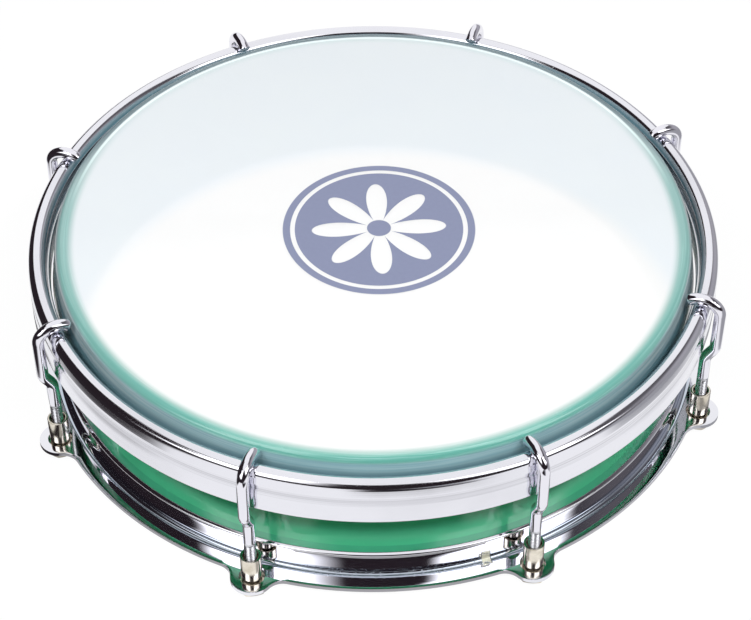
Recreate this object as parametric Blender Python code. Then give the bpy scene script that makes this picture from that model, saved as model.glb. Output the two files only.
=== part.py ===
"""Tamborim, a six inch hand-held frame drum tuned by eight hook bolts.

A film head lies over the rounded top edge of a plastic shell. Its hoop is pulled down by a
beaded steel counter hoop. Eight hooks hang over the bead and screw into tube nuts, whose
hexagonal heads pull on the ears of a steel ring under the shell.

Units are metres and +Z is up. The drum stands on its nut heads at Z = 0, about the Z axis.
"""

import math

import bmesh
import bpy

# Clearance between two pieces that touch, and the facets of the large rings
GAP = 0.0003
RING_SEGMENTS = 64

# Shell
SHELL_RADIUS = 0.0762
SHELL_WALL = 0.0025
SHELL_HEIGHT = 0.036
BEARING_ROUND = 0.0016
SHELL_CHAMFER = 0.0003

# Film head: the collar is the part that turns down outside the shell
FILM_THICKNESS = 0.0003
COLLAR_CLEARANCE = 0.0005
COLLAR_SLOPE = math.radians(8)
SKIRT_TUCK = 0.0005

# Flesh hoop, the channel that the film is set in
FLESH_HOOP_WIDTH = 0.0038
FLESH_HOOP_HEIGHT = 0.0045
FLESH_HOOP_CORNER = 0.0006

# Counter hoop, a strip whose top edge is rolled inwards into a bead
HOOP_WALL = 0.001
HOOP_HEIGHT = 0.0117
BEAD_RADIUS = 0.0021
BEAD_BELOW_FILM = 0.002
CURL_END = math.radians(285)

# Lug ring, a flat plate with ears and an upright wall, whose top turns in to hold the shell
PLATE_THICKNESS = 0.0011
LEDGE_WIDTH = 0.0026
RING_WALL = 0.001
RING_WALL_HEIGHT = 0.0066
RING_LIP_WIDTH = 0.0013
RING_LIP_CHAMFER = 0.0003
COVE_RADIUS = 0.0008
FLANGE_WIDTH = 0.0045
EAR_RADIUS = 0.005
EAR_FILLET = 0.004
EAR_HOLE_CLEARANCE = 0.00055

# Hook bolts and tube nuts
LUG_COUNT = 8
ROD_RADIUS = 0.0014
SHANK_CLEARANCE = 0.001
JOGGLE = 0.002
JOGGLE_BELOW_BEAD = 0.0098
JOGGLE_HEIGHT = 0.005
TIP_ANGLE = math.radians(130)
ROD_END_HEIGHT = 0.003
NUT_RADIUS = 0.00245
NUT_LENGTH = 0.0104
NUT_HEAD_FLATS = 0.007
NUT_HEAD_HEIGHT = 0.0018
NUT_CHAMFER = 0.0002

# Heights, from the floor up
PLATE_BOTTOM = NUT_HEAD_HEIGHT + GAP
PLATE_TOP = PLATE_BOTTOM + PLATE_THICKNESS
SHELL_BOTTOM = PLATE_TOP + GAP
SHELL_TOP = SHELL_BOTTOM + SHELL_HEIGHT
FILM_TOP = SHELL_TOP + GAP + FILM_THICKNESS
BEAD_Z = FILM_TOP - BEAD_BELOW_FILM - BEAD_RADIUS
HOOP_BOTTOM = BEAD_Z + BEAD_RADIUS - HOOP_HEIGHT
FLESH_HOOP_TOP = BEAD_Z - BEAD_RADIUS - GAP
FLESH_HOOP_BOTTOM = FLESH_HOOP_TOP - FLESH_HOOP_HEIGHT
SKIRT_BOTTOM = FLESH_HOOP_BOTTOM + SKIRT_TUCK
RING_WALL_TOP = PLATE_TOP + RING_WALL_HEIGHT

# Radii, from the shell outwards
SHELL_INNER = SHELL_RADIUS - SHELL_WALL
FILM_BEND = BEARING_ROUND + GAP + FILM_THICKNESS
BEND_CENTRE = SHELL_RADIUS + COLLAR_CLEARANCE - (BEARING_ROUND + GAP) * math.cos(COLLAR_SLOPE)
BEND_END_Z = FILM_TOP - FILM_BEND * (1 - math.sin(COLLAR_SLOPE))
SKIRT_SPREAD = (BEND_END_Z - SKIRT_BOTTOM) * math.tan(COLLAR_SLOPE)
SKIRT_RADIUS = BEND_CENTRE + FILM_BEND * math.cos(COLLAR_SLOPE) + SKIRT_SPREAD
FLESH_HOOP_INNER = SKIRT_RADIUS + GAP
FLESH_HOOP_OUTER = FLESH_HOOP_INNER + FLESH_HOOP_WIDTH
HOOP_RADIUS = FLESH_HOOP_OUTER + GAP + HOOP_WALL
BEAD_CENTRE = HOOP_RADIUS - BEAD_RADIUS
SHANK_AXIS = HOOP_RADIUS + SHANK_CLEARANCE + ROD_RADIUS
NUT_AXIS = SHANK_AXIS - JOGGLE
RING_LIP_INNER = SHELL_RADIUS + GAP
RING_WALL_INNER = RING_LIP_INNER + RING_LIP_WIDTH
RING_WALL_OUTER = RING_WALL_INNER + RING_WALL
FLANGE_RADIUS = RING_WALL_OUTER + FLANGE_WIDTH


def arc(centre_r, centre_z, radius, start, end, steps):
    """Points of an arc; an angle of 0 points outwards and a quarter turn points up."""
    angles = (start + (end - start) * i / steps for i in range(steps + 1))
    return [(centre_r + radius * math.cos(a), centre_z + radius * math.sin(a)) for a in angles]


def lug_azimuth(index):
    """Direction of a lug seen from the drum's middle, half a step from the front."""
    step = math.tau / LUG_COUNT
    return -math.pi / 2 + step * (index + 0.5)


def principled(name, colour, roughness, metallic):
    material = bpy.data.materials.new(name)
    material.use_nodes = True
    shader = material.node_tree.nodes["Principled BSDF"]
    shader.inputs["Base Color"].default_value = (*colour, 1)
    shader.inputs["Roughness"].default_value = roughness
    shader.inputs["Metallic"].default_value = metallic
    return material


def finished_mesh(bm, name, material):
    """Turns the faces outwards, smooths the round ones and leaves true edges sharp."""
    bmesh.ops.recalc_face_normals(bm, faces=bm.faces)
    mesh = bpy.data.meshes.new(name)
    bm.to_mesh(mesh)
    bm.free()
    mesh.shade_smooth()
    mesh.set_sharp_from_angle(angle=math.radians(35))
    mesh.materials.append(material)
    return mesh


def placed(name, data, location=(0, 0, 0), turn=0.0):
    obj = bpy.data.objects.new(name, data)
    bpy.context.scene.collection.objects.link(obj)
    obj.location = location
    obj.rotation_euler = (0, 0, turn)
    return obj


def turned_mesh(name, profile, material, base_z=0.0, segments=RING_SEGMENTS):
    """Spins a closed profile of (radius, height) points a full turn about Z."""
    bm = bmesh.new()
    verts = [bm.verts.new((r, 0, z - base_z)) for r, z in profile]
    edges = [bm.edges.new(pair) for pair in zip(verts, verts[1:])]
    if profile[0][0] > 0:
        edges.append(bm.edges.new((verts[-1], verts[0])))
    bmesh.ops.spin(
        bm, geom=verts + edges, cent=(0, 0, 0), axis=(0, 0, 1), angle=math.tau, steps=segments
    )
    bmesh.ops.remove_doubles(bm, verts=bm.verts, dist=1e-6)
    return finished_mesh(bm, name, material)


def shell_profile():
    """A plain tube whose top edge is rounded outwards for the head."""
    round_r = SHELL_RADIUS - BEARING_ROUND
    round_z = SHELL_TOP - BEARING_ROUND
    edge = arc(round_r, round_z, BEARING_ROUND, 0, math.pi / 2, 4)
    return [
        (SHELL_INNER, SHELL_BOTTOM),
        (SHELL_RADIUS, SHELL_BOTTOM),
        *edge,
        (SHELL_INNER + SHELL_CHAMFER, SHELL_TOP),
        (SHELL_INNER, SHELL_TOP - SHELL_CHAMFER),
    ]


def drumhead_profile():
    """Flat film that bends over the shell's edge and widens down to its skirt."""
    bend_z = FILM_TOP - FILM_BEND
    skirt_wall = FILM_THICKNESS / math.cos(COLLAR_SLOPE)
    outer = arc(BEND_CENTRE, bend_z, FILM_BEND, math.pi / 2, COLLAR_SLOPE, 5)
    inner = arc(BEND_CENTRE, bend_z, FILM_BEND - FILM_THICKNESS, COLLAR_SLOPE, math.pi / 2, 4)
    return [
        (0, FILM_TOP),
        *outer,
        (SKIRT_RADIUS, SKIRT_BOTTOM),
        (SKIRT_RADIUS - skirt_wall, SKIRT_BOTTOM),
        *inner,
        (0, FILM_TOP - FILM_THICKNESS),
    ]


def flesh_hoop_profile():
    """A square channel section with its corners rounded."""
    corners = (
        (FLESH_HOOP_OUTER, FLESH_HOOP_BOTTOM, -1, 1, -90),
        (FLESH_HOOP_OUTER, FLESH_HOOP_TOP, -1, -1, 0),
        (FLESH_HOOP_INNER, FLESH_HOOP_TOP, 1, -1, 90),
        (FLESH_HOOP_INNER, FLESH_HOOP_BOTTOM, 1, 1, 180),
    )
    points = []
    for r, z, inward, upward, start in corners:
        centre = (r + inward * FLESH_HOOP_CORNER, z + upward * FLESH_HOOP_CORNER)
        begin = math.radians(start)
        points += arc(*centre, FLESH_HOOP_CORNER, begin, begin + math.pi / 2, 2)
    return points


def counter_hoop_profile():
    """A strip that rises along the outside and curls inwards over a hollow bead."""
    outside = arc(BEAD_CENTRE, BEAD_Z, BEAD_RADIUS, 0, CURL_END, 13)
    inside = arc(BEAD_CENTRE, BEAD_Z, BEAD_RADIUS - HOOP_WALL, CURL_END, 0, 9)
    return [
        (HOOP_RADIUS - HOOP_WALL, HOOP_BOTTOM),
        (HOOP_RADIUS, HOOP_BOTTOM),
        *outside,
        *inside,
    ]


def ring_wall_profile():
    """The upright wall with its lip, a cove into the flange, and the foot sunk in the plate."""
    foot = PLATE_TOP - PLATE_THICKNESS / 2
    cove_r = RING_WALL_OUTER + COVE_RADIUS
    cove_z = PLATE_TOP + COVE_RADIUS
    cove = arc(cove_r, cove_z, COVE_RADIUS, 1.5 * math.pi, math.pi, 4)
    return [
        (RING_WALL_INNER, foot),
        (cove_r, foot),
        *cove,
        (RING_WALL_OUTER, RING_WALL_TOP - RING_LIP_CHAMFER),
        (RING_WALL_OUTER - RING_LIP_CHAMFER, RING_WALL_TOP),
        (RING_LIP_INNER, RING_WALL_TOP),
        (RING_LIP_INNER, RING_WALL_TOP - RING_WALL),
        (RING_WALL_INNER, RING_WALL_TOP - RING_WALL),
    ]


def plate_outline():
    """The flange's rim with an ear at each lug, joined to it by fillets."""
    rim_side = FLANGE_RADIUS + EAR_FILLET
    ear_side = EAR_RADIUS + EAR_FILLET
    spread = math.acos(
        (rim_side**2 + NUT_AXIS**2 - ear_side**2) / (2 * rim_side * NUT_AXIS)
    )
    fillet_x = rim_side * math.cos(spread)
    fillet_y = rim_side * math.sin(spread)
    to_ear = math.atan2(fillet_y, NUT_AXIS - fillet_x)
    lead_in = arc(fillet_x, -fillet_y, EAR_FILLET, math.pi - spread, to_ear, 4)
    tip = arc(NUT_AXIS, 0, EAR_RADIUS, to_ear - math.pi, math.pi - to_ear, 12)
    lead_out = [(x, -y) for x, y in reversed(lead_in)]
    one_ear = lead_in + tip[1:-1] + lead_out
    points = []
    for index in range(LUG_COUNT):
        turn = lug_azimuth(index)
        c, s = math.cos(turn), math.sin(turn)
        points += [(x * c - y * s, x * s + y * c) for x, y in one_ear]
        rest = math.tau / LUG_COUNT - 2 * spread
        rim = (turn + spread + rest * i / 6 for i in range(1, 6))
        points += [(FLANGE_RADIUS * math.cos(a), FLANGE_RADIUS * math.sin(a)) for a in rim]
    return points


def plate_mesh(material):
    bm = bmesh.new()
    face = bm.faces.new([bm.verts.new((x, y, PLATE_BOTTOM)) for x, y in plate_outline()])
    grown = bmesh.ops.extrude_face_region(bm, geom=[face])["geom"]
    raised = [item for item in grown if isinstance(item, bmesh.types.BMVert)]
    bmesh.ops.translate(bm, verts=raised, vec=(0, 0, PLATE_THICKNESS))
    return finished_mesh(bm, "lug_ring", material)


def cutter(name, mesh):
    obj = placed(name, mesh)
    obj.hide_render = True
    obj.display_type = "WIRE"
    return obj


def bored(name, radius, centres, segments):
    """Cylinders that pass right through the plate, one at each centre."""
    bm = bmesh.new()
    depth = 3 * PLATE_THICKNESS
    for x, y in centres:
        made = bmesh.ops.create_cone(
            bm, cap_ends=True, segments=segments, radius1=radius, radius2=radius, depth=depth
        )
        bmesh.ops.translate(bm, verts=made["verts"], vec=(x, y, PLATE_TOP - PLATE_THICKNESS / 2))
    mesh = bpy.data.meshes.new(name)
    bm.to_mesh(mesh)
    bm.free()
    return mesh


def build_lug_ring(material):
    ring = placed("lug_ring", plate_mesh(material))
    ledge_radius = RING_LIP_INNER - LEDGE_WIDTH
    hole_radius = NUT_RADIUS + EAR_HOLE_CLEARANCE
    azimuths = [lug_azimuth(i) for i in range(LUG_COUNT)]
    ears = [(NUT_AXIS * math.cos(a), NUT_AXIS * math.sin(a)) for a in azimuths]
    tools = (
        ("DIFFERENCE", bored("middle_cutter", ledge_radius, [(0, 0)], RING_SEGMENTS)),
        ("DIFFERENCE", bored("ear_hole_cutter", hole_radius, ears, 20)),
        ("UNION", turned_mesh("ring_wall_tool", ring_wall_profile(), material)),
    )
    for operation, mesh in tools:
        modifier = ring.modifiers.new(mesh.name, "BOOLEAN")
        modifier.operation = operation
        modifier.solver = "EXACT"
        modifier.object = cutter(mesh.name, mesh)
    return ring


def hook_path():
    """(x, z) points of the bent rod: x is measured outwards from the nut's axis."""
    joggle_top = BEAD_Z - JOGGLE_BELOW_BEAD
    joggle_bottom = joggle_top - JOGGLE_HEIGHT
    points = [(0, ROD_END_HEIGHT)]
    steps = 6
    for i in range(steps + 1):
        t = i / steps
        points.append((JOGGLE * t * t * (3 - 2 * t), joggle_bottom + JOGGLE_HEIGHT * t))
    reach = SHANK_AXIS - BEAD_CENTRE
    rise = BEAD_RADIUS + GAP + ROD_RADIUS
    over_bead = arc(0, 0, 1, 0, TIP_ANGLE, 10)
    points += [(BEAD_CENTRE - NUT_AXIS + reach * c, BEAD_Z + rise * s) for c, s in over_bead]
    return points


def hook_curve(material):
    curve = bpy.data.curves.new("tension_hook", "CURVE")
    curve.dimensions = "3D"
    curve.bevel_depth = ROD_RADIUS
    curve.bevel_resolution = 3
    curve.use_fill_caps = True
    path = hook_path()
    spline = curve.splines.new("POLY")
    spline.points.add(len(path) - 1)
    for point, (x, z) in zip(spline.points, path):
        point.co = (x, 0, z, 1)
    curve.materials.append(material)
    return curve


def nut_mesh(material):
    """A tube on a hexagonal head: rings of points joined into one closed sleeve."""
    sides = 18
    bore = ROD_RADIUS + GAP

    def hexagon(turn):
        from_flat = turn % (math.pi / 3) - math.pi / 6
        return NUT_HEAD_FLATS / 2 / math.cos(from_flat)

    rings = (
        (bore, 0),
        (bore, NUT_LENGTH),
        (NUT_RADIUS - NUT_CHAMFER, NUT_LENGTH),
        (NUT_RADIUS, NUT_LENGTH - NUT_CHAMFER),
        (NUT_RADIUS, NUT_HEAD_HEIGHT),
        (hexagon, NUT_HEAD_HEIGHT),
        (hexagon, 0),
    )
    bm = bmesh.new()
    loops = []
    for radius, z in rings:
        loop = []
        for i in range(sides):
            turn = math.tau * i / sides
            r = radius(turn) if callable(radius) else radius
            loop.append(bm.verts.new((r * math.cos(turn), r * math.sin(turn), z)))
        loops.append(loop)
    for low, high in zip(loops, loops[1:] + loops[:1]):
        for i in range(sides):
            j = (i + 1) % sides
            bm.faces.new((low[i], low[j], high[j], high[i]))
    return finished_mesh(bm, "tube_nut", material)


def build():
    for obj in list(bpy.data.objects):
        bpy.data.objects.remove(obj)

    green = principled("green_plastic", (0.045, 0.32, 0.18), 0.18, 0.0)
    film = principled("milky_film", (0.86, 0.9, 0.91), 0.3, 0.0)
    aluminium = principled("aluminium", (0.72, 0.73, 0.74), 0.35, 1.0)
    hoop_chrome = principled("hoop_chrome", (0.8, 0.8, 0.83), 0.06, 1.0)
    ring_chrome = principled("ring_chrome", (0.78, 0.78, 0.81), 0.08, 1.0)
    hook_chrome = principled("hook_chrome", (0.8, 0.8, 0.84), 0.1, 1.0)
    nickel = principled("nickel", (0.66, 0.61, 0.54), 0.22, 1.0)

    placed("shell", turned_mesh("shell", shell_profile(), green))
    placed("drumhead", turned_mesh("drumhead", drumhead_profile(), film))
    hoop_origin = (0, 0, BEAD_Z)
    for name, profile, material in (
        ("flesh_hoop", flesh_hoop_profile(), aluminium),
        ("counter_hoop", counter_hoop_profile(), hoop_chrome),
    ):
        placed(name, turned_mesh(name, profile, material, BEAD_Z), hoop_origin)
    build_lug_ring(ring_chrome)

    hook = hook_curve(hook_chrome)
    nut = nut_mesh(nickel)
    for index in range(LUG_COUNT):
        turn = lug_azimuth(index)
        foot = (NUT_AXIS * math.cos(turn), NUT_AXIS * math.sin(turn), 0)
        placed(f"tension_hook_{index + 1}", hook, foot, turn)
        placed(f"tube_nut_{index + 1}", nut, foot, turn)


build()
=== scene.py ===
"""Looks of the tamborim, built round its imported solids: finely turned skins, threads, finishes
and a plain studio.

Lengths are metres. The drum stands about the Z axis, its front towards -Y, and an azimuth is counted
from the front towards +X.
"""

import math

import bmesh
import bpy
import numpy as np
from mathutils import Matrix


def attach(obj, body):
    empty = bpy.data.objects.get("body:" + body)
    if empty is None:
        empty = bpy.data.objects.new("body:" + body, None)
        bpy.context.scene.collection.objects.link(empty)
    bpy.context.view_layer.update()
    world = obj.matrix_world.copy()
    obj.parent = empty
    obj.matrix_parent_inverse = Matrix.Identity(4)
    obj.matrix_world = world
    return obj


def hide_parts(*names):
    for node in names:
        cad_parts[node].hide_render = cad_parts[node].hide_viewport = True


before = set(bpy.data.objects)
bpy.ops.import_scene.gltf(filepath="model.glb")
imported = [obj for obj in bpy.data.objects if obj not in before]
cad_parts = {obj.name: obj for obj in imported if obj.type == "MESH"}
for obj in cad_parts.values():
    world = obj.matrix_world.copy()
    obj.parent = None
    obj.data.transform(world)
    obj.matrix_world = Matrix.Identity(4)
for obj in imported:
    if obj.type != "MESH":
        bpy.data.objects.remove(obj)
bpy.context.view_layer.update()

MM = 0.001
LUGS = 8
TURN = 2 * math.pi
TURN_STEPS = 256
# Points closer than this become one, and edges that turn more than this stay sharp
WELD = 1e-6
SHARP = math.radians(38)
MIRRORED = [1, -1]

# Shell and film
SHELL_RADIUS = 76.2 * MM
SHELL_INNER = 73.7 * MM
SHELL_BOTTOM = 3.5 * MM
SHELL_MIDDLE = 20.0 * MM
SHELL_TOP = 39.5 * MM
FOOT_ROUND = 0.2 * MM
INNER_ROUND = 0.3 * MM
BEARING_ROUND = 1.6 * MM
FILM_TOP = 40.1 * MM
FILM_BOTTOM = 29.6 * MM
FILM_THICKNESS = 0.3 * MM
FILM_GAP = 0.5 * MM
FILM_BEND = 2.2 * MM
FILM_ROWS = np.array([0, 8, 16, 23, 30, 40, 50, 60, 68, 72, 73.5, 74.5]) * MM
COLLAR_SLOPE = math.radians(8)
BEND_CENTRE = SHELL_RADIUS + FILM_GAP - (FILM_BEND - FILM_THICKNESS) * math.cos(COLLAR_SLOPE)

# The print in the middle of the film
PRINT_X = 1.3 * MM
PRINT_Y = -2.0 * MM
PRINT_RADIUS = 23.25 * MM
PRINT_RING = 20.9 * MM
PRINT_RING_HALF = 0.5 * MM
FLOWER_HEART = 3.0 * MM
PETAL_LENGTH = 13.2 * MM

# Hoops
BEAD_Z = 36.0 * MM
BEAD_RADIUS = 2.1 * MM
CURL_RADIUS = BEAD_RADIUS - 0.1 * MM
HOOP_STEPS = 320
HOOP_RADIUS = 83.6 * MM
HOOP_WALL = 1.0 * MM
HOOP_BOTTOM = 26.4 * MM
HOOP_ROUND = 0.35 * MM
CURL_CENTRE = (HOOP_RADIUS - 2.19 * MM, BEAD_Z + 0.09 * MM)
CURL_INSIDE = 34.0 * MM
NECK_DEPTH = 0.14 * MM
NECK_BOTTOM = 29.6 * MM
NECK_TOP = 32.9 * MM
FLANK_DEPTH = 0.04 * MM
FLANK_BOTTOM = 33.0 * MM
FLANK_TOP = 34.5 * MM
FLANK_END = 34.6 * MM
FLESH_INNER = 78.6 * MM
FLESH_WIDTH = 3.8 * MM
FLESH_TOP = 33.6 * MM
FLESH_BOTTOM = 29.1 * MM
FLESH_ROUND = 0.55 * MM
GROOVE_DEPTH = 0.5 * MM

# Lug ring
PLATE_BOTTOM = 2.1 * MM
PLATE_TOP = 3.2 * MM
PLATE_ROUND = 0.22 * MM
LEDGE_RADIUS = 73.9 * MM
LIP_INNER = 76.15 * MM
WALL = 1.0 * MM
WALL_OUTER = 78.8 * MM
WALL_TOP = 9.8 * MM
WALL_CORNER = 0.5 * MM
# The chamfer's and the cove's spans, along the radius and upwards
CHAMFER = (0.382 * MM, 0.238 * MM)
CHAMFER_TURN = 58
COVE = (1.4 * MM, 0.8 * MM)
COVE_MIDDLE = 79.4 * MM
ROLL_WIDTH = 0.7 * MM
ROLL_DROP = 0.08 * MM
FLANGE_START = WALL_OUTER + COVE[0]
FLANGE_RADIUS = 83.3 * MM
# Where rows of points lie, as shares of the way out from the cove or from an ear's hole
FLANGE_ROWS = np.array([0, 0.05, 0.3, 0.6, 0.82, 0.94, 1])
EAR_ROWS = np.array([0, 0.15, 0.4, 0.7, 0.82, 0.93, 1])
EAR_RADIUS = 5.0 * MM
EAR_FILLET = 4.0 * MM
EAR_HOLE = 3.0 * MM
LUG_STEPS = 48
EAR_STEPS = 6
RING_STEP = TURN / LUGS / LUG_STEPS
EAR_LAP = RING_STEP * EAR_STEPS

# Hooks and nuts
NUT_AXIS = 84.0 * MM
SHANK_AXIS = 86.0 * MM
ROD_SIDES = 28
ROD_RADIUS = 1.4 * MM
ROD_END = 3.0 * MM
ROD_CLEARANCE = 0.3 * MM
# The rod's rounded end: millimetres past its last circle, and shares of that circle's radius
ROUND_END = np.array([[0.0, 1.0], [0.12, 0.97], [0.22, 0.88], [0.26, 0.75], [0.26, 0.0]])
JOGGLE_BOTTOM = 21.2 * MM
JOGGLE_TOP = 26.2 * MM
THREAD_PITCH = 0.5 * MM
THREAD_DEPTH = 0.27 * MM
THREAD_TOP = 15.5 * MM
THREAD_FADE = 1.2 * MM
THREAD_STEEPNESS = 1.25
TIP_ANGLE = math.radians(130)
NUT_SIDES = 72
NUT_RADIUS = 2.45 * MM
NUT_BORE = 1.72 * MM
NUT_LENGTH = 10.4 * MM
NUT_FLATS = 7.0 * MM
NUT_HEAD = 1.8 * MM
NUT_EDGE = 0.06 * MM
BORE_START = 0.35 * MM
CONE_SHARE = 0.97
CONE_SLOPE = math.radians(30)


def lug_azimuth(index):
    return TURN / LUGS * (index + 0.5)


def arc(centre, radius, start, end, steps):
    """Points of an arc in degrees: 0 points outwards, 90 points up."""
    angle = np.radians(np.linspace(start, end, steps + 1))
    return np.stack([centre[0] + radius * np.cos(angle), centre[1] + radius * np.sin(angle)], -1)


def rounded(r, z, radius, start, steps):
    """A square corner at (r, z) rounded off: a quarter arc that starts at -90, 0, 90 or 180 degrees."""
    outwards = -1 if start in (-90, 0) else 1
    upwards = 1 if start in (-90, 180) else -1
    return arc((r + outwards * radius, z + upwards * radius), radius, start, start + 90, steps)


def polyline(*parts):
    """Arcs and single (radius, height) points joined into one profile."""
    return np.concatenate([np.atleast_2d(np.asarray(part, float)) for part in parts])


def revolved(profile, azimuths):
    """Each profile point (r, z) carried round the axis: x = r sin a, y = -r cos a."""
    r, z = profile[:, 0], profile[:, 1]
    sine, cosine = np.sin(azimuths)[:, None], np.cos(azimuths)[:, None]
    return np.stack([r * sine, -r * cosine, np.broadcast_to(z, (len(azimuths), len(z)))], -1)


def full_turn(count):
    return np.linspace(0, TURN, count, endpoint=False)


def in_drum(points, azimuth, z):
    """Points given outwards and sideways of a lug, placed round the drum at their heights."""
    out, side = points[..., 0], points[..., 1]
    x = out * math.sin(azimuth) + side * math.cos(azimuth)
    y = -out * math.cos(azimuth) + side * math.sin(azimuth)
    return np.stack([x, y, np.broadcast_to(z, out.shape)], -1)


def squares(rows, columns, ring, closed):
    """Corners of a grid's squares; ring joins the last row to the first, closed the last column."""
    i, j = np.meshgrid(
        np.arange(rows if ring else rows - 1),
        np.arange(columns if closed else columns - 1),
        indexing="ij",
    )
    below, beside = (i + 1) % rows, (j + 1) % columns
    corners = [i * columns + j, below * columns + j, below * columns + beside, i * columns + beside]
    return np.stack(corners, -1).reshape(-1, 4)


def add_object(name, data):
    made = bpy.data.objects.new(name, data)
    bpy.context.scene.collection.objects.link(made)
    return made


def skin(name, patches, finish, body, replaced, edge_round=0.0):
    """One piece from grids of points: their shared edges are welded and all faces turned outwards.
    Its true edges are rounded if asked, and wide faces keep their own normals at their borders."""
    points, faces, start = [], [], 0
    for grid, ring, closed in patches:
        points.append(grid.reshape(-1, 3))
        faces.append(squares(*grid.shape[:2], ring, closed) + start)
        start += points[-1].shape[0]
    mesh = bpy.data.meshes.new(name)
    mesh.from_pydata(np.concatenate(points).tolist(), [], np.concatenate(faces).tolist())
    bm = bmesh.new()
    bm.from_mesh(mesh)
    bmesh.ops.remove_doubles(bm, verts=bm.verts, dist=WELD)
    bmesh.ops.recalc_face_normals(bm, faces=bm.faces)
    bm.to_mesh(mesh)
    bm.free()
    mesh.shade_smooth()
    mesh.set_sharp_from_angle(angle=SHARP)
    mesh.materials.append(finish)
    piece = add_object(name, mesh)
    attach(piece, body)
    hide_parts(replaced)
    if edge_round:
        bevel = piece.modifiers.new("edges", "BEVEL")
        bevel.width = edge_round
        bevel.segments = 3
        bevel.limit_method = "ANGLE"
        bevel.angle_limit = SHARP
        bevel.miter_outer = "MITER_ARC"
    weighted = piece.modifiers.new("normals", "WEIGHTED_NORMAL")
    weighted.keep_sharp = True


class Term:
    """A socket in a sum: every operator adds the Math node that works it out."""

    def __init__(self, graph, socket):
        self.graph = graph
        self.socket = socket

    def __add__(self, other):
        return self.graph.maths("ADD", self, other)

    def __radd__(self, other):
        return self.graph.maths("ADD", other, self)

    def __sub__(self, other):
        return self.graph.maths("SUBTRACT", self, other)

    def __rsub__(self, other):
        return self.graph.maths("SUBTRACT", other, self)

    def __mul__(self, other):
        return self.graph.maths("MULTIPLY", self, other)

    def __rmul__(self, other):
        return self.graph.maths("MULTIPLY", other, self)

    def __pow__(self, other):
        return self.graph.maths("POWER", self, other)


class Graph:
    """A node tree under construction."""

    def __init__(self, owner):
        owner.use_nodes = True
        self.tree = owner.node_tree

    def node(self, kind, settings=None, output=0, **inputs):
        """Adds one node: its settings first, then a value or a link for each named socket."""
        made = self.tree.nodes.new(kind)
        for key, value in (settings or {}).items():
            setattr(made, key, value)
        for key, value in inputs.items():
            socket = made.inputs[int(key[1:]) if key[1:].isdigit() else key.replace("_", " ")]
            if isinstance(value, Term):
                self.tree.links.new(value.socket, socket)
            else:
                socket.default_value = value
        return Term(self, made.outputs[output])

    def split(self, vector):
        outputs = self.node("ShaderNodeSeparateXYZ", Vector=vector).socket.node.outputs
        return (Term(self, part) for part in outputs)

    def rays(self, *kinds):
        """For each kind of ray, 1 where such a ray meets the surface."""
        outputs = self.node("ShaderNodeLightPath").socket.node.outputs
        return (Term(self, outputs[kind]) for kind in kinds)

    def maths(self, operation, first, second=0.0):
        return self.node("ShaderNodeMath", {"operation": operation}, _0=first, _1=second)

    def step(self, value, low, high):
        """0 at low, 1 at high, with a soft step between; low may be the larger."""
        return self.node(
            "ShaderNodeMapRange",
            {"interpolation_type": "SMOOTHSTEP"},
            Value=value,
            From_Min=low,
            From_Max=high,
        )

    def band(self, value, centre, half, soft):
        """1 within half of the centre, fading to 0 over soft."""
        return self.step(self.maths("ABSOLUTE", value - centre), half + soft, half)

    def mix(self, share, first, second):
        """One colour turning into another by share."""
        return self.node(
            "ShaderNodeMix", {"data_type": "RGBA"}, output=2, _0=share, _6=first, _7=second
        )

    def blend(self, share, first, second):
        """One shader turning into another by share."""
        return self.node("ShaderNodeMixShader", _0=share, _1=first, _2=second)

    def end(self, shader):
        """Sends a shader to the tree's output."""
        outputs = [n for n in self.tree.nodes if n.bl_idname.startswith("ShaderNodeOutput")]
        self.tree.links.new(shader.socket, outputs[0].inputs["Surface"])


class Finish(Graph):
    """A material round one Principled shader, with the place on the drum as terms."""

    def __init__(self, name, **constants):
        self.material = bpy.data.materials.new(name)
        super().__init__(self.material)
        self.shader = self.tree.nodes["Principled BSDF"]
        for socket, value in constants.items():
            self.shader.inputs[socket.replace("_", " ")].default_value = value
        self.place = self.node("ShaderNodeTexCoord", output="Object")
        self.x, self.y, self.z = self.split(self.place)
        self.r = (self.x * self.x + self.y * self.y) ** 0.5
        self.azimuth = self.maths("ARCTAN2", self.x, 0 - self.y)

    def noise(self, scale, detail, place=None):
        place = place or self.place
        return self.node("ShaderNodeTexNoise", Vector=place, Scale=scale, Detail=detail)

    def spots(self, scale, detail, low, high):
        """Noise cut off between two levels: soft spots on a clean ground."""
        return self.step(self.noise(scale, detail), low, high)

    def vector(self, x, y, z):
        return self.node("ShaderNodeCombineXYZ", X=x, Y=y, Z=z)

    def lines(self, fine, slow, detail):
        """Noise drawn out into fine lines that run round the drum."""
        place = self.vector(self.r * fine, self.z * fine, (self.x + self.y) * slow)
        return self.noise(1.0, detail, place)

    def relief(self, height, distance):
        """Raises the surface by height times distance, in metres."""
        self.feed(Normal=self.node("ShaderNodeBump", Distance=distance, Height=height))

    def feed(self, **inputs):
        for key, value in inputs.items():
            self.tree.links.new(value.socket, self.shader.inputs[key.replace("_", " ")])


def colour(red, green, blue):
    """An sRGB colour, 0 to 255, as linear light."""
    parts = (part / 255 for part in (red, green, blue))
    return (*(p / 12.92 if p <= 0.04045 else ((p + 0.055) / 1.055) ** 2.4 for p in parts), 1.0)


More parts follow.
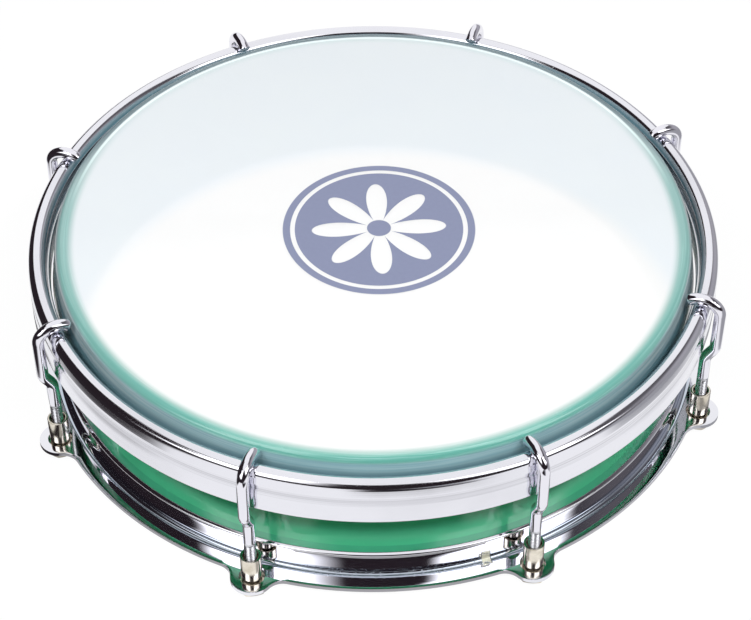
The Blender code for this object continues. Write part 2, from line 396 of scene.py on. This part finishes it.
def shell_finish():
    """Glossy moulded plastic: a slightly uneven green, darker above its lower third by painted shade
    where the hoop shades it, faint scuffs, and a duller inside."""
    f = Finish("green_plastic", IOR=1.42)
    cloud = f.noise(35.0, 3.0)
    # Painted shade: a lit green and a darker shaded copy of it. The shaded one covers the wall above
    # its lower third, under the hoop's shadow.
    light = f.mix(cloud, colour(84, 214, 156), colour(92, 222, 166))
    painted_shade_green = f.mix(cloud, colour(54, 176, 114), colour(62, 185, 124))
    f.feed(Base_Color=f.mix(f.step(f.z, 14.0 * MM, 17.5 * MM), light, painted_shade_green))
    inside = f.step(f.r, SHELL_INNER + 0.9 * MM, SHELL_INNER + 0.5 * MM)
    scuffs = f.spots(420.0, 4.0, 0.55, 0.75)
    f.feed(Roughness=0.12 + scuffs * 0.1 + inside * 0.25)
    f.relief(f.noise(260.0, 2.0), 0.012 * MM)
    return f.material


def film_print(f):
    """1 where the film is printed: a disc with a clear ring near its rim and a clear flower in it.
    The petals reach out by the cosine of four times the angle, and their heart is printed."""
    across, along = f.x - PRINT_X, f.y - PRINT_Y
    reach = (across * across + along * along) ** 0.5
    disc = f.step(reach, PRINT_RADIUS + 0.1 * MM, PRINT_RADIUS - 0.1 * MM)
    ring = f.band(reach, PRINT_RING, PRINT_RING_HALF, 0.12 * MM)
    angle = f.maths("ARCTAN2", along, across)
    petal = f.maths("ABSOLUTE", f.maths("COSINE", angle * 4.0))
    flower = f.step(reach - (FLOWER_HEART + petal * PETAL_LENGTH), 0.15 * MM, -0.15 * MM)
    heart = f.step(reach, FLOWER_HEART, FLOWER_HEART - 0.2 * MM)
    return disc * (1 - ring) * (1 - flower * (1 - heart))


def film_finish():
    """Milky film, printed in the middle: whiter towards the front by a painted reflection, green at its
    crest where the shell's edge shows through, and streaked on its collar, painted grey there as shade
    and darker at its foot. At the back its rim is a grey painted shade with a painted highlight line
    inside it, and the collar glows faintly with painted light."""
    f = Finish("milky_film", IOR=1.8, Emission_Strength=1.0)
    printed = film_print(f)
    toward = f.maths("COSINE", f.azimuth)
    facing = f.maths("MAXIMUM", toward, 0.0)
    behind = f.step(toward, -0.05, -0.6)
    depth = FILM_TOP - f.z
    crest = f.step(f.r - facing * (2.2 * MM), 71.6 * MM, 74.2 * MM) * (1 - behind * 0.7)
    collar = f.step(depth - facing * (1.4 * MM) - behind * (0.6 * MM), 0.05 * MM, 0.9 * MM)
    painted_far_rim_shade = f.step(f.r, 74.4 * MM, 74.8 * MM) * behind
    painted_far_rim_highlight = f.band(f.r, 74.1 * MM, 0.2 * MM, 0.2 * MM) * behind
    painted_collar_foot_shade = f.step(depth, 3.0 * MM, 5.6 * MM)
    streaks = f.noise(1.0, 3.0, f.vector(f.azimuth * 3.0, f.r * 2400.0, f.z * 2400.0))
    # Painted reflection: inside a circle towards the front the film is painted pure white.
    ahead = f.y + 43.5 * MM
    near = f.step((f.x * f.x + ahead * ahead) ** 0.5, 73.5 * MM, 67.0 * MM)

    milk = f.mix(f.noise(60.0, 3.0), colour(243, 249, 255), colour(247, 252, 255))
    milk = f.mix(near, milk, colour(255, 255, 255))
    green = f.mix(facing, colour(140, 184, 180), colour(106, 179, 165))
    green = f.mix(f.step(streaks, 0.5, 0.8), green, colour(158, 208, 202))
    creased = f.step(streaks, 0.35, 0.7)
    # Painted shade: the white film is painted grey on its collar, where it lies in shade, and darker at
    # its foot.
    side_shade_grey = f.mix(creased, colour(160, 178, 182), colour(200, 204, 202))
    front_shade_grey = f.mix(creased, colour(150, 192, 200), colour(172, 208, 214))
    grey = f.mix(facing, side_shade_grey, front_shade_grey)
    grey = f.mix(painted_collar_foot_shade, grey, colour(104, 140, 150))
    film = f.mix(crest, milk, green)
    # Painted shade: at the back the film's outermost rim is painted as a dark grey band.
    film = f.mix(painted_far_rim_shade, film, colour(112, 134, 142))
    film = f.mix(collar, film, grey)
    ink = f.mix(f.noise(900.0, 2.0), colour(119, 127, 160), colour(124, 132, 165))
    f.feed(Base_Color=f.mix(printed, film, ink))

    # Painted light: at the back the collar glows faintly, though no lamp lights it there.
    glow = f.mix(collar * behind, colour(0, 0, 0), colour(84, 110, 116))
    # Painted highlight: at the back a bright line glows just inside the film's rim.
    f.feed(Emission_Color=f.mix(painted_far_rim_highlight, glow, colour(150, 156, 156)))
    clear = (1 - crest * 0.8) * (1 - printed) * 0.22
    f.feed(Alpha=1 - clear, Roughness=0.04 + f.noise(500.0, 3.0) * 0.06)
    f.relief(f.noise(700.0, 2.0) + printed * 0.6, 0.006 * MM)
    return f.material


def hoop_finish():
    """Chrome on rolled steel: polish marks that run round the drum, smudges, a few pits, and a
    grey band of painted shade in the neck below the bead."""
    f = Finish("hoop_chrome", Metallic=1.0)
    smudge = f.spots(28.0, 4.0, 0.45, 0.8)
    lines = f.lines(2600.0, 12.0, 3.0)
    # Painted shade: a grey band in the neck below the bead, broken up by the polish marks.
    painted_neck_shade = f.band(f.z, NECK_TOP - 0.1 * MM, 0.8 * MM, 0.7 * MM) * f.step(lines, 0.3, 0.6)
    clean = f.mix(smudge, colour(235, 235, 242), colour(223, 223, 230))
    f.feed(Base_Color=f.mix(painted_neck_shade * 0.8, clean, colour(203, 203, 210)))
    f.feed(Roughness=0.05 + smudge * 0.06 + lines * 0.1)
    pits = f.spots(1500.0, 1.0, 0.74, 0.82)
    f.relief(lines + f.noise(140.0, 2.0) * 0.8 - pits * 1.5, 0.004 * MM)
    return f.material


def ring_finish():
    """The lug ring's chrome: a cove tinted blue-grey by a painted reflection, with a weld mark in it,
    spatter near the front, and pressing marks."""
    f = Finish("ring_chrome")
    smudge = f.spots(30.0, 4.0, 0.45, 0.8)
    lines = f.lines(2200.0, 12.0, 3.0)
    in_cove = f.band(f.r, COVE_MIDDLE, 0.6 * MM, 0.3 * MM) * f.step(f.z, 4.4 * MM, 3.9 * MM)
    ahead = f.band(f.azimuth, 0.0, math.radians(12), math.radians(6))
    spatter = f.spots(2200.0, 1.0, 0.6, 0.7) * in_cove * ahead
    weld = f.band(f.azimuth, math.radians(15.8), math.radians(0.6), math.radians(0.3))
    weld = weld * f.band(f.r, COVE_MIDDLE, 0.9 * MM, 0.3 * MM) * f.step(f.z, 6.2 * MM, 5.4 * MM)
    blob = weld * f.spots(900.0, 2.0, 0.3, 0.5)
    clean = f.mix(smudge, colour(236, 236, 242), colour(222, 224, 232))
    # Painted reflection: the cove is tinted blue-grey where it mirrors the gap and the film's collar.
    clean = f.mix(in_cove * 0.7, clean, colour(176, 190, 206))
    f.feed(Base_Color=f.mix(blob, clean, colour(222, 220, 200)))
    f.feed(Metallic=1 - blob * 0.6, Roughness=0.035 + smudge * 0.03 + lines * 0.02 + blob * 0.35)
    wavy = f.noise(110.0, 2.0)
    f.relief(lines * 0.3 + wavy * 1.4 + spatter * 6.0 + blob * 30.0, 0.005 * MM)
    return f.material


def rod_finish():
    """Bright chromed rod, a little duller and greyer where it is threaded."""
    f = Finish("rod_chrome", Metallic=1.0)
    threaded = f.step(f.z, THREAD_TOP + 0.3 * MM, THREAD_TOP - 0.3 * MM)
    smudge = f.spots(160.0, 3.0, 0.45, 0.75)
    f.feed(Base_Color=f.mix(threaded, colour(236, 235, 243), colour(216, 217, 223)))
    f.feed(Roughness=0.05 + smudge * 0.06 + threaded * 0.2)
    drawn = f.noise(1.0, 2.0, f.vector(f.x * 3000.0, f.y * 3000.0, f.z * 150.0))
    f.relief(drawn + f.noise(900.0, 2.0), 0.004 * MM)
    return f.material


def nut_finish():
    """Nickel on turned steel: warm, with fine lathe lines round the sleeve."""
    f = Finish("nickel", Metallic=1.0)
    lathe = f.noise(1.0, 2.0, f.vector(0.0, 0.0, f.z * 9000.0))
    stain = f.spots(300.0, 3.0, 0.4, 0.75)
    f.feed(Base_Color=f.mix(stain, colour(234, 227, 214), colour(212, 203, 186)))
    f.feed(Roughness=0.1 + lathe * 0.08 + stain * 0.08)
    f.relief(lathe + f.noise(1400.0, 2.0) * 0.5, 0.004 * MM)
    return f.material


def channel_finish():
    """Drawn aluminium with lines that run round the hoop."""
    f = Finish("aluminium", Metallic=1.0)
    lines = f.lines(4000.0, 10.0, 4.0)
    f.feed(Base_Color=f.mix(lines, colour(205, 207, 210), colour(226, 228, 230)))
    f.feed(Roughness=0.18 + lines * 0.16)
    f.relief(lines, 0.006 * MM)
    return f.material


def make_shell(finish):
    """A tube: the profile's outer side, the rounded bearing edge, and the inside."""
    profile = polyline(
        rounded(SHELL_RADIUS, SHELL_BOTTOM, FOOT_ROUND, -90, 3),
        [SHELL_RADIUS, SHELL_MIDDLE],
        rounded(SHELL_RADIUS, SHELL_TOP, BEARING_ROUND, 0, 14),
        rounded(SHELL_INNER, SHELL_TOP, INNER_ROUND, 90, 4),
        [SHELL_INNER, SHELL_MIDDLE],
        rounded(SHELL_INNER, SHELL_BOTTOM, FOOT_ROUND, 180, 3),
    )
    tube = revolved(profile, full_turn(TURN_STEPS))
    skin("shell_tube", [(tube, True, True)], finish, "drum", "shell")


def make_film(finish):
    """Flat to the bend, round the bend, then down the sloping collar, and back along the inside."""
    centre = (BEND_CENTRE, FILM_TOP - FILM_BEND)
    slope = math.degrees(COLLAR_SLOPE)
    outer = arc(centre, FILM_BEND, 90, slope, 16)
    inner = arc(centre, FILM_BEND - FILM_THICKNESS, slope, 90, 14)
    lip = outer[-1, 0] + (outer[-1, 1] - FILM_BOTTOM) * math.tan(COLLAR_SLOPE)
    wall = FILM_THICKNESS / math.cos(COLLAR_SLOPE)
    top = np.stack([FILM_ROWS, np.full(len(FILM_ROWS), FILM_TOP)], -1)
    under = top[::-1] - [0, FILM_THICKNESS]
    profile = polyline(top, outer, [lip, FILM_BOTTOM], [lip - wall, FILM_BOTTOM], inner, under)
    film = revolved(profile, full_turn(TURN_STEPS))
    skin("film_head", [(film, True, False)], finish, "drum", "drumhead")


def make_flesh_hoop(finish):
    """A channel section: rounded outside, with a narrow groove at the top where the film goes in."""
    outer = FLESH_INNER + FLESH_WIDTH
    profile = polyline(
        rounded(outer, FLESH_BOTTOM, FLESH_ROUND, -90, 5),
        rounded(outer, FLESH_TOP, FLESH_ROUND, 0, 5),
        [FLESH_INNER + 1.5 * MM, FLESH_TOP],
        [FLESH_INNER + 1.3 * MM, FLESH_TOP - GROOVE_DEPTH],
        [FLESH_INNER + 0.75 * MM, FLESH_TOP - GROOVE_DEPTH],
        [FLESH_INNER + 0.6 * MM, FLESH_TOP],
        rounded(FLESH_INNER, FLESH_TOP, INNER_ROUND, 90, 3),
        rounded(FLESH_INNER, FLESH_BOTTOM, FLESH_ROUND, 180, 5),
    )
    channel = revolved(profile, full_turn(TURN_STEPS))
    skin("flesh_hoop_channel", [(channel, True, True)], finish, "hoop", "flesh_hoop")


def make_counter_hoop(finish):
    """A strip with rounded lower edges and the curl rolled inwards. Below the curl the outside draws
    in along a smooth S to a shallow neck, then leans out again up to the curl."""
    inner_face = HOOP_RADIUS - HOOP_WALL
    share = np.linspace(0, 1, 13)
    ease = share * share * (3 - 2 * share)
    neck = [HOOP_RADIUS - NECK_DEPTH * ease, NECK_BOTTOM + (NECK_TOP - NECK_BOTTOM) * share]
    flank = [
        HOOP_RADIUS - NECK_DEPTH + (NECK_DEPTH - FLANK_DEPTH) * share,
        FLANK_BOTTOM + (FLANK_TOP - FLANK_BOTTOM) * share,
    ]
    profile = polyline(
        rounded(inner_face, HOOP_BOTTOM, HOOP_ROUND, 180, 4),
        rounded(HOOP_RADIUS, HOOP_BOTTOM, HOOP_ROUND, -90, 4),
        np.stack(neck, -1),
        np.stack(flank, -1),
        [HOOP_RADIUS - FLANK_DEPTH, FLANK_END],
        arc(CURL_CENTRE, CURL_RADIUS, 6, 285, 60),
        arc(CURL_CENTRE, CURL_RADIUS - HOOP_WALL, 285, 0, 40),
        [inner_face, CURL_INSIDE],
    )
    strip = revolved(profile, full_turn(HOOP_STEPS))
    skin("counter_hoop_strip", [(strip, True, True)], finish, "hoop", "counter_hoop")


def ring_section():
    """The ring's turned part: the ledge, the wall with its lip, a chamfer between two rounded
    corners at the wall's top, and the cove, which is a quarter of an ellipse."""
    flank = (WALL_OUTER - WALL_CORNER, WALL_TOP - WALL_CORNER - CHAMFER[1])
    crown = (flank[0] - CHAMFER[0], flank[1] + CHAMFER[1])
    wall_inner, lip_bottom = WALL_OUTER - WALL, WALL_TOP - WALL
    return polyline(
        [FLANGE_START, PLATE_BOTTOM],
        [LEDGE_RADIUS, PLATE_BOTTOM],
        [LEDGE_RADIUS, PLATE_TOP],
        [wall_inner, PLATE_TOP],
        [wall_inner, lip_bottom],
        [LIP_INNER, lip_bottom],
        [LIP_INNER, WALL_TOP],
        arc(crown, WALL_CORNER, 90, CHAMFER_TURN, 5),
        arc(flank, WALL_CORNER, CHAMFER_TURN, 0, 8),
        arc((0, 0), 1.0, 180, 270, 12) * COVE + [FLANGE_START, PLATE_TOP + COVE[1]],
    )


def ear_outline():
    """Half of an ear's outline from the rim to its tip: a concave fillet, then the ear's own arc.
    Points past the ear's share of the rim are left out."""
    rim_side, ear_side = FLANGE_RADIUS + EAR_FILLET, EAR_RADIUS + EAR_FILLET
    spread = math.acos((rim_side**2 + NUT_AXIS**2 - ear_side**2) / (2 * rim_side * NUT_AXIS))
    hub = np.array([rim_side * math.cos(spread), rim_side * math.sin(spread)])
    lean = math.atan2(hub[1], NUT_AXIS - hub[0])
    fillet = arc(hub, EAR_FILLET, math.degrees(spread) + 180, math.degrees(-lean) + 360, 8)
    tip = arc((NUT_AXIS, 0), EAR_RADIUS, math.degrees(math.pi - lean), 0, 14)
    outline = np.concatenate([fillet, tip[1:]])
    return outline[outline[:, 1] <= outline[:, 0] * math.tan(EAR_LAP)]


def rolled_off(depth):
    """How far the flange's top lies below its flat at a distance in from its outline."""
    return ROLL_DROP * np.clip(1 - depth / ROLL_WIDTH, 0, 1) ** 2


def make_lug_ring(finish):
    """The wall and cove are turned; the flange is a ring of patches, each ear's one running from
    its hole out to the outline, and the other between ears from the cove out to the rim. The top
    rolls off along the outline: its height falls with the square of the nearness to the edge."""
    patches = [(revolved(ring_section(), full_turn(LUGS * LUG_STEPS)), True, False)]
    radii = FLANGE_START + (FLANGE_RADIUS - FLANGE_START) * FLANGE_ROWS
    side = radii[:, None] * np.array([math.cos(EAR_LAP), math.sin(EAR_LAP)])
    inner_turn = np.linspace(EAR_LAP, -EAR_LAP, 2 * EAR_STEPS + 1)
    inner = FLANGE_START * np.stack([np.cos(inner_turn), np.sin(inner_turn)], -1)
    outline = ear_outline()
    far_side, far_outline = side * MIRRORED, outline[:-1] * MIRRORED
    border = np.concatenate([outline[::-1], side[::-1], inner[1:-1], far_side, far_outline])
    rim_edge = np.concatenate([side[-1:], outline, far_outline[::-1], far_side[-1:]])
    hub = np.array([NUT_AXIS, 0])
    away = border - hub
    hole = hub + EAR_HOLE * away / np.linalg.norm(away, axis=1, keepdims=True)
    ear = hole + (border - hole) * EAR_ROWS[:, None, None]
    depth = np.maximum(FLANGE_RADIUS - np.linalg.norm(border, axis=1), 0)
    depth = depth + (1 - EAR_ROWS[:, None]) * np.linalg.norm(border - hole, axis=1)
    rim_top = PLATE_TOP - ROLL_DROP
    rim = polyline([FLANGE_RADIUS, PLATE_BOTTOM], [FLANGE_RADIUS, rim_top])
    turns = RING_STEP * np.arange(LUG_STEPS - 2 * EAR_STEPS + 1)

    for index in range(LUGS):
        azimuth = lug_azimuth(index)
        top = in_drum(ear, azimuth, PLATE_TOP - rolled_off(depth))
        bottom = in_drum(ear, azimuth, PLATE_BOTTOM)
        patches += [(top, False, True), (bottom, False, True)]
        patches.append((np.stack([bottom[0], top[0]]), False, True))
        edges = [in_drum(rim_edge, azimuth, z) for z in (PLATE_BOTTOM, rim_top)]
        patches.append((np.stack(edges), False, False))
        between = azimuth + EAR_LAP + turns
        for z in (PLATE_BOTTOM, PLATE_TOP - rolled_off(FLANGE_RADIUS - radii)):
            flat = np.stack([radii, np.broadcast_to(z, len(radii))], -1)
            patches.append((revolved(flat, between), False, False))
        patches.append((revolved(rim, between), False, False))
    skin("lug_ring_pressing", patches, finish, "drum", "lug_ring", PLATE_ROUND)


def rod_path():
    """Middle line of a hook bolt as (outwards, up) points, closely spaced, from the threaded end."""
    thread = np.arange(ROD_END, THREAD_TOP, THREAD_PITCH / 8)
    straight = np.linspace(THREAD_TOP, JOGGLE_BOTTOM, 4)[:-1]
    t = np.linspace(0, 1, 15)
    lean = NUT_AXIS + (SHANK_AXIS - NUT_AXIS) * t * t * (3 - 2 * t)
    climb = JOGGLE_BOTTOM + (JOGGLE_TOP - JOGGLE_BOTTOM) * t
    shank = np.linspace(JOGGLE_TOP, BEAD_Z, 8)[1:-1]
    bend = np.linspace(0, TIP_ANGLE, 36)
    centre = HOOP_RADIUS - BEAD_RADIUS
    reach, rise = SHANK_AXIS - centre, BEAD_RADIUS + ROD_CLEARANCE + ROD_RADIUS
    lower = np.concatenate([thread, straight])
    parts = [
        [np.full(len(lower), NUT_AXIS), lower],
        [lean, climb],
        [np.full(len(shank), SHANK_AXIS), shank],
        [centre + reach * np.cos(bend), BEAD_Z + rise * np.sin(bend)],
    ]
    return np.concatenate([np.stack(part, -1) for part in parts])


def rod_grid(path):
    """Circles square to the path. Below the shank their radius dips by a triangle wave of height
    and turn, which makes the thread; the ends close in a small round and a flat."""
    ahead = np.gradient(path, axis=0)
    ahead /= np.linalg.norm(ahead, axis=1, keepdims=True)
    turn = full_turn(ROD_SIDES)
    wave = (path[:, 1:2] / THREAD_PITCH - turn / TURN) % 1
    groove = 1 - np.clip(np.abs(2 * wave - 1) * THREAD_STEEPNESS, 0, 1)
    fade = np.clip((THREAD_TOP - path[:, 1:2]) / THREAD_FADE, 0, 1)
    radius = ROD_RADIUS - THREAD_DEPTH * groove * fade
    ends = []
    for end, direction, order in ((0, -ahead[0], -1), (-1, ahead[-1], 1)):
        shape = ROUND_END[::order]
        ends.append((path[end] + direction * shape[:, :1] * MM, shape[:, 1:] * radius[end]))
    points = np.concatenate([ends[0][0], path[1:-1], ends[1][0]])
    sizes = np.concatenate([ends[0][1], radius[1:-1], ends[1][1]])
    extra = len(ROUND_END)
    steer = np.concatenate(
        [np.repeat(ahead[:1], extra, 0), ahead[1:-1], np.repeat(ahead[-1:], extra, 0)]
    )
    across = np.stack([steer[:, 1], -steer[:, 0]], -1)
    out = points[:, :1] + sizes * np.cos(turn) * across[:, :1]
    up = points[:, 1:] + sizes * np.cos(turn) * across[:, 1:]
    return np.stack([out, sizes * np.sin(turn)], -1), up


def make_hooks(finish):
    """The same rod at each lug."""
    rod, height = rod_grid(rod_path())
    for index in range(LUGS):
        grid = in_drum(rod, lug_azimuth(index), height)
        number = index + 1
        body, replaced = f"hook_{number}", f"tension_hook_{number}"
        patches = [(grid, False, True)]
        skin(f"hook_bolt_{number}", patches, finish, body, replaced)


def make_nuts(finish):
    """A sleeve on a hexagonal head: circles whose radius on the head follows the hexagon, cut by a
    30 degree cone at its lower corners."""
    turn = full_turn(NUT_SIDES)
    hexagon = NUT_FLATS / 2 / np.cos(turn % (TURN / 6) - TURN / 12)
    flat = NUT_FLATS / 2 * CONE_SHARE
    cone = (hexagon - flat) * math.tan(CONE_SLOPE)
    rings = [
        (NUT_BORE, BORE_START),
        (NUT_BORE, NUT_LENGTH - 0.3 * MM),
        (NUT_BORE + 0.12 * MM, NUT_LENGTH - NUT_EDGE),
        (NUT_BORE + 0.22 * MM, NUT_LENGTH),
        (NUT_RADIUS - 0.2 * MM, NUT_LENGTH),
        (NUT_RADIUS - NUT_EDGE, NUT_LENGTH - NUT_EDGE),
        (NUT_RADIUS, NUT_LENGTH - 0.2 * MM),
        (NUT_RADIUS, NUT_HEAD + 0.1 * MM),
        (NUT_RADIUS + 0.1 * MM, NUT_HEAD),
        (hexagon - NUT_EDGE, NUT_HEAD),
        (hexagon, NUT_HEAD - NUT_EDGE),
        (hexagon, cone),
        (flat, 0.0),
        (NUT_BORE + BORE_START, 0.0),
    ]
    radius, height = (
        np.stack([np.broadcast_to(ring[part], NUT_SIDES) for ring in rings]) for part in (0, 1)
    )
    nut = np.stack([NUT_AXIS + radius * np.cos(turn), radius * np.sin(turn)], -1)
    for index in range(LUGS):
        grid = in_drum(nut, lug_azimuth(index), height)
        number = index + 1
        body, replaced = f"nut_{number}", f"tube_nut_{number}"
        skin(f"sleeve_nut_{number}", [(grid, True, True)], finish, body, replaced)


def looking_in(azimuth, elevation):
    """Side, top and back of something that looks down towards the axis from an azimuth and an
    elevation in degrees. The back points away from the drum."""
    a, e = math.radians(azimuth), math.radians(elevation)
    back = np.array([math.cos(e) * math.sin(a), -math.cos(e) * math.cos(a), math.sin(e)])
    side = np.array([math.cos(a), math.sin(a), 0])
    return side, np.cross(back, side), back


def placed(side, top, back, place):
    """The matrix with these three axes and this origin."""
    turn = np.eye(4)
    turn[:3, :3] = np.stack([side, top, back], -1)
    turn[:3, 3] = place
    return Matrix(turn.tolist())


def make_camera():
    """The fitted camera: its place on a sphere round the bead's middle, then aim and roll."""
    distance, roll = 0.53761, math.radians(-0.1817)
    focal_pixels, photo_pixels, sensor = 2208.0, 751, 36
    outwards = looking_in(azimuth=-3.05, elevation=41.908)[2]
    side, top, back = looking_in(azimuth=-3.12202, elevation=43.8449)
    rolled = side * math.cos(roll) + top * math.sin(roll)
    upright = top * math.cos(roll) - side * math.sin(roll)
    data = bpy.data.cameras.new("camera")
    data.sensor_width = sensor
    data.lens = focal_pixels / photo_pixels * sensor
    data.clip_start = 0.01
    camera = add_object("camera", data)
    camera.matrix_world = placed(rolled, upright, back, outwards * distance + [0, 0, BEAD_Z])
    bpy.context.scene.camera = camera


def lamp(name, azimuth, elevation, distance, size, power):
    """A soft oblong lamp that looks at the drum from a direction."""
    data = bpy.data.lights.new(name, "AREA")
    data.shape = "RECTANGLE"
    data.size, data.size_y = size
    data.energy = power
    light = add_object(name, data)
    side, top, back = looking_in(azimuth, elevation)
    light.matrix_world = placed(side, top, back, back * distance + [0, 0, SHELL_MIDDLE])
    light.visible_glossy = False


def make_world():
    """White to the camera, faint fill to paint, and to gloss a studio: a white ceiling that comes
    down towards the back, a dark room below it with a grey haze on the right, and a leaning soft box
    on either side in front. Each box is wider above 45 degrees and ends at 50 away from the front.
    Angles are degrees."""
    world = bpy.data.worlds.new("studio")
    bpy.context.scene.world = world
    g = Graph(world)
    x, y, z = g.split(g.node("ShaderNodeTexCoord", output="Generated"))
    azimuth = g.maths("DEGREES", g.maths("ARCTAN2", x, 0 - y))
    height = g.maths("DEGREES", g.maths("ARCSINE", z))
    away = g.maths("ABSOLUTE", azimuth)
    slope = g.maths("MAXIMUM", away - 122.0, 0.0) * 1.1
    room = g.step(height + slope, 60.0, 56.0) * g.step(away, 178.0, 165.0)
    flare = g.step(height, 43.0, 47.0) * 18.0
    left = g.step(azimuth - height * 0.75 + flare, -93.0, -82.0) * g.step(azimuth, -13.0, -36.0)
    right = azimuth + height * 0.7
    right = g.step(right, 51.0, 61.0) * g.step(right - flare, 94.0, 84.0)
    gap = g.step(height, 50.0, 56.0) * g.step(away, 38.0, 55.0)
    boxes = g.maths("MAXIMUM", left, right) * g.step(height, 15.0, 26.0) * (1 - gap)
    haze = room * g.step(azimuth, 55.0, 100.0) * (0.25 + 0.75 * g.step(height, 45.0, 20.0))
    white, dark, grey, box, fill = (
        g.node("ShaderNodeBackground", Color=(*shade, 1), Strength=strength)
        for shade, strength in (
            ((1, 1, 1), 1.0),
            ((0.022, 0.016, 0.02), 1.0),
            ((0.4, 0.39, 0.42), 1.0),
            ((1, 1, 1), 2.5),
            ((0.96, 0.98, 1), 0.1),
        )
    )
    studio = g.blend(room, white, dark)
    studio = g.blend(haze, studio, grey)
    studio = g.blend(boxes * room, studio, box)
    camera, gloss = g.rays("Is Camera Ray", "Is Glossy Ray")
    g.end(g.blend(camera, g.blend(gloss, fill, studio), white))


def make_floor():
    """A wide white floor, close to pure white to the camera. To gloss it is a dark table, greyer on
    the right, with white paper on it: a strip that widens to the back, and all of the front but for
    a dark patch. Round the ring the paper has a painted shadow of the drum, a dark line broken at the
    front lugs, and a greyer painted contact shadow inside it. Angles are degrees."""
    f = Finish("studio_floor", Roughness=0.6)
    f.feed(Base_Color=f.mix(f.noise(3.0, 2.0), (0.34, 0.34, 0.345, 1), (0.36, 0.36, 0.365, 1)))
    glow = f.node("ShaderNodeEmission", Color=(1, 1, 1, 1), Strength=1.12)
    shade = f.mix(f.step(f.x, 0.02, 0.08), (0.025, 0.02, 0.024, 1), (0.36, 0.36, 0.38, 1))
    table = f.node("ShaderNodeEmission", Color=shade, Strength=1.0)
    turn = f.maths("DEGREES", f.azimuth)
    aside = f.maths("ABSOLUTE", turn)
    ahead = f.step(f.r, 0.126, 0.142) * f.band(turn, 7.0, 10.0, 8.0)
    width = f.maths("ABSOLUTE", f.x) - f.y * 0.3
    paper = f.maths("MAXIMUM", f.step(width, 0.122, 0.106), f.step(aside, 56.0, 46.0))
    between = f.step(f.maths("COSINE", f.azimuth * LUGS), -0.75, -0.3)
    between = f.maths("MAXIMUM", between, f.step(aside, 50.0, 60.0))
    # Painted shadows of the drum on the paper, seen only in reflections: a dark ring, and a greyer
    # contact shadow inside it.
    line = f.band(f.r, 0.0905, 0.0025, 0.0015) * between
    painted_contact_shadow = f.band(f.r, 0.0855, 0.0015, 0.001)
    paper = paper * (1 - ahead) * (1 - line) * (1 - 0.6 * painted_contact_shadow)
    camera, gloss = f.rays("Is Camera Ray", "Is Glossy Ray")
    plain = Term(f, f.shader.outputs[0])
    lit = f.blend(camera * 0.85 + gloss * 0.8, plain, glow)
    f.end(f.blend(gloss * (1 - paper), lit, table))
    profile = np.array([[0.0, 0], [0.3, 0], [1.0, 0], [4.0, 0]])
    grid = revolved(profile, full_turn(64))
    mesh = bpy.data.meshes.new("floor")
    faces = squares(*grid.shape[:2], True, False)
    mesh.from_pydata(grid.reshape(-1, 3).tolist(), [], faces.tolist())
    mesh.materials.append(f.material)
    add_object("floor", mesh)


make_shell(shell_finish())
make_film(film_finish())
make_flesh_hoop(channel_finish())
make_counter_hoop(hoop_finish())
make_lug_ring(ring_finish())
make_hooks(rod_finish())
make_nuts(nut_finish())

make_camera()
for turn in (-60, -30, 0, 30, 60):
    lamp(f"lamp_at_{turn}", turn, elevation=56, distance=1.1, size=(0.6, 0.12), power=3.05)
make_world()
make_floor()
bpy.context.scene.view_settings.view_transform = "Standard"
